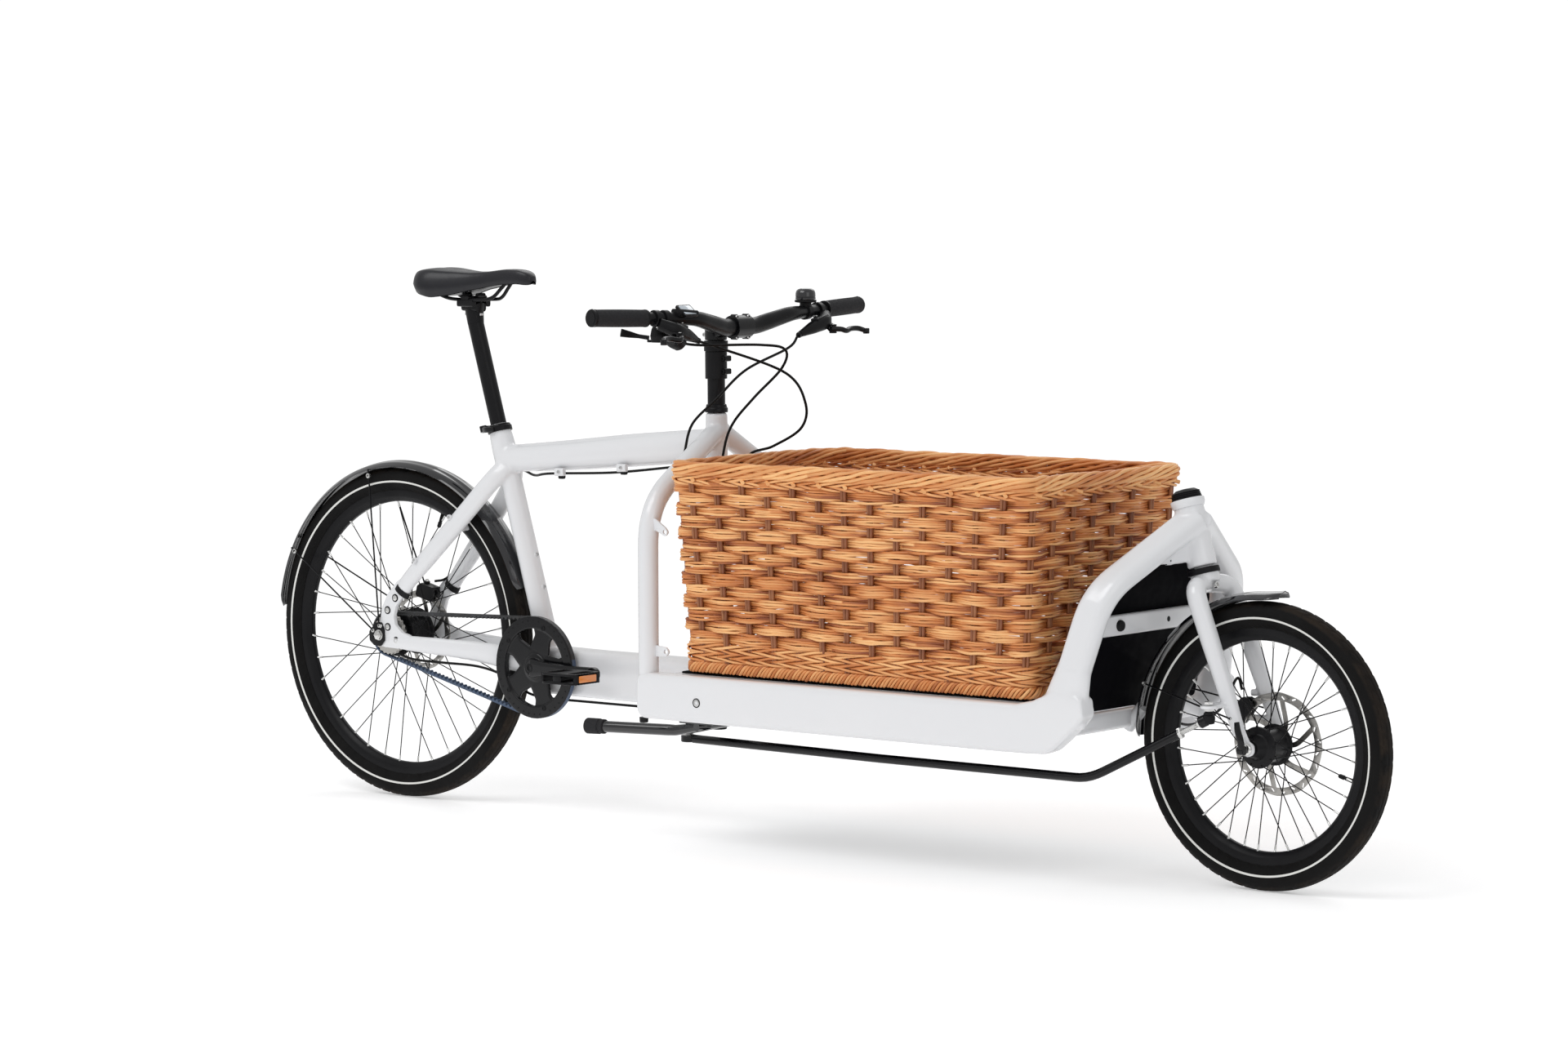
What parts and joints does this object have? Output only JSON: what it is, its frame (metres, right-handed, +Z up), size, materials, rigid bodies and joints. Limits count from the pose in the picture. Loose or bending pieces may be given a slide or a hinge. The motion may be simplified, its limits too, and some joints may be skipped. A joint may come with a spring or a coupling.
{
  "type": "cargo bicycle",
  "caption": "Long two-wheeled cargo bicycle with a wicker basket between the head tubes, linkage steering, belt drive, hub gear, disc brakes and a folding stand.",
  "frame": {"origin": "on the ground under the middle of the bicycle's bounding box", "axes": "+X forward, towards the front wheel; +Y towards the bicycle's left; +Z up"},
  "size_m": [2.621, 0.775, 1.048],
  "materials": {
    "white_paint": "gloss powder coat",
    "panel_black": "matte laminate panel",
    "wicker": "woven buff willow",
    "gloss_black": "gloss black paint",
    "black_aluminium": "black anodised, satin",
    "black_plastic": "moulded, matte",
    "tyre_rubber": "matte tyre rubber with a reflective stripe",
    "belt_rubber": "toothed belt",
    "grip_rubber": "soft dark grey foam rubber",
    "saddle_cover": "smooth synthetic leather",
    "hose": "smooth hose",
    "steel": "bright zinc-plated steel"
  },
  "bodies": {
    "frame": {"seat_tube": "white_paint", "top_tube": "white_paint", "rear_head_tube": "white_paint", "main_beam": "white_paint", "seatstay_right": "white_paint", "seatstay_left": "white_paint", "chainstay_right": "white_paint", "chainstay_left": "white_paint", "side_rail_right": "white_paint", "side_rail_left": "white_paint", "rear_hoop_right": "white_paint", "rear_hoop_left": "white_paint", "front_riser_right": "white_paint", "front_riser_left": "white_paint", "front_head_tube": "white_paint", "front_cross_tube": "white_paint", "deck_panel": "panel_black", "front_panel": "panel_black", "basket": "wicker", "rear_mudguard": "gloss_black", "rear_caliper": "black_aluminium", "stand_bracket": "gloss_black", "belt": "belt_rubber", "rear_axle": "steel", "rear_brake_hose": "hose", "front_brake_hose": "hose", "shift_cable": "hose"},
    "seat": {"seatpost": "black_aluminium", "saddle": "saddle_cover"},
    "rear_wheel": {"rear_tyre": "tyre_rubber", "rear_rim": "gloss_black", "rear_hub": "black_aluminium"},
    "rear_drive": {"rear_sprocket": "black_aluminium"},
    "crankset": {"crank_right": "black_aluminium", "crank_left": "black_aluminium"},
    "right_pedal": {"pedal_right": "black_plastic"},
    "left_pedal": {"pedal_left": "black_plastic"},
    "bars": {"steering_column": "black_aluminium", "stem": "black_aluminium", "handlebar": "black_aluminium", "grip_right": "grip_rubber", "grip_left": "grip_rubber", "brake_housing_right": "black_plastic", "brake_housing_left": "black_plastic", "shifter": "black_plastic"},
    "bell": {"bell_dome": "black_plastic"},
    "right_brake_lever": {"brake_lever_right": "black_aluminium"},
    "left_brake_lever": {"brake_lever_left": "black_aluminium"},
    "gear_lever": {"shift_lever": "black_plastic"},
    "rod_joint": {"tie_rod_joint": "steel"},
    "rod": {"tie_rod": "gloss_black"},
    "front_fork": {"fork": "white_paint", "front_mudguard": "gloss_black", "front_caliper": "black_aluminium", "front_axle": "steel"},
    "axle_lever": {"quick_release_lever": "black_aluminium"},
    "front_wheel": {"front_tyre": "tyre_rubber", "front_rim": "gloss_black", "front_hub": "black_aluminium"},
    "stand": {"kickstand": "gloss_black"}
  },
  "joints": [
    {"name": "fork_steer", "type": "hinge", "parent": "frame", "child": "front_fork", "pos_m": [1.01447, 0, 0.25], "axis": [-0.274, 0, 0.9617], "range_deg": [-32, 32]},
    {"name": "bar_steer", "type": "hinge", "parent": "frame", "child": "bars", "pos_m": [-0.16753, 0, 0.25], "axis": [0, 0, 1], "range_deg": [-32, 32], "deforming": ["rear_brake_hose", "front_brake_hose", "shift_cable"]},
    {"name": "rod_yaw", "type": "hinge", "parent": "bars", "child": "rod_joint", "pos_m": [-0.15053, -0.1065, 0.201], "axis": [0, 0, 1], "range_deg": [-32, 32]},
    {"name": "rod_pitch", "type": "hinge", "parent": "rod_joint", "child": "rod", "pos_m": [-0.15053, -0.1065, 0.1855], "axis": [0, 1, 0], "range_deg": [-1.5, 1.5]},
    {"name": "rear_wheel_spin", "type": "hinge", "parent": "frame", "child": "rear_wheel", "pos_m": [-0.97253, 0, 0.3265], "axis": [0, 1, 0], "continuous": true},
    {"name": "front_wheel_spin", "type": "hinge", "parent": "front_fork", "child": "front_wheel", "pos_m": [1.06047, 0, 0.25], "axis": [0, 1, 0], "continuous": true},
    {"name": "crank_spin", "type": "hinge", "parent": "frame", "child": "crankset", "pos_m": [-0.58453, 0, 0.285], "axis": [0, 1, 0], "continuous": true},
    {"name": "sprocket_spin", "type": "hinge", "parent": "frame", "child": "rear_drive", "pos_m": [-0.97253, 0, 0.3265], "axis": [0, 1, 0], "continuous": true},
    {"name": "right_pedal_spin", "type": "hinge", "parent": "crankset", "child": "right_pedal", "pos_m": [-0.41453, -0.14, 0.285], "axis": [0, 1, 0], "continuous": true},
    {"name": "left_pedal_spin", "type": "hinge", "parent": "crankset", "child": "left_pedal", "pos_m": [-0.75453, 0.14, 0.285], "axis": [0, 1, 0], "continuous": true},
    {"name": "seatpost_slide", "type": "slide", "parent": "frame", "child": "seat", "axis": [-0.2823, 0, 0.9593], "range_m": [-0.1, 0.04]},
    {"name": "right_brake_squeeze", "type": "hinge", "parent": "bars", "child": "right_brake_lever", "pos_m": [-0.0662, -0.22173, 0.93517], "axis": [0, 0, -1], "range_deg": [0, 18], "stiffness_Nm_per_rad": 0.4, "springref_deg": -8.59},
    {"name": "left_brake_squeeze", "type": "hinge", "parent": "bars", "child": "left_brake_lever", "pos_m": [-0.0662, 0.22173, 0.93517], "axis": [0, 0, 1], "range_deg": [0, 18], "stiffness_Nm_per_rad": 0.4, "springref_deg": -8.59},
    {"name": "gear_lever_push", "type": "hinge", "parent": "bars", "child": "gear_lever", "pos_m": [-0.14297, -0.21598, 0.93247], "axis": [0, 0, 1], "range_deg": [0, 20], "stiffness_Nm_per_rad": 0.1, "springref_deg": -8.59},
    {"name": "bell_twist", "type": "hinge", "parent": "bars", "child": "bell", "pos_m": [-0.10674, 0.19023, 0.99057], "axis": [0, 0, 1], "range_deg": [-20, 20], "stiffness_Nm_per_rad": 0.05},
    {"name": "axle_lever_flip", "type": "hinge", "parent": "front_fork", "child": "axle_lever", "pos_m": [1.06047, -0.0755, 0.25], "axis": [1, 0, 0], "range_deg": [0, 170]},
    {"name": "stand_fold", "type": "hinge", "parent": "frame", "child": "stand", "pos_m": [-0.08253, 0, 0.2165], "axis": [0, -1, 0], "range_deg": [0, 119], "stiffness_Nm_per_rad": 1.2, "springref_deg": -68.75}
  ],
  "couplings": [
    {"joint": "bar_steer", "follows": "fork_steer", "ratio": 1},
    {"joint": "rod_yaw", "follows": "fork_steer", "ratio": -1},
    {"joint": "rod_pitch", "follows": "fork_steer", "ratio": -0.0254},
    {"joint": "sprocket_spin", "follows": "crank_spin", "ratio": 2.2927}
  ]
}
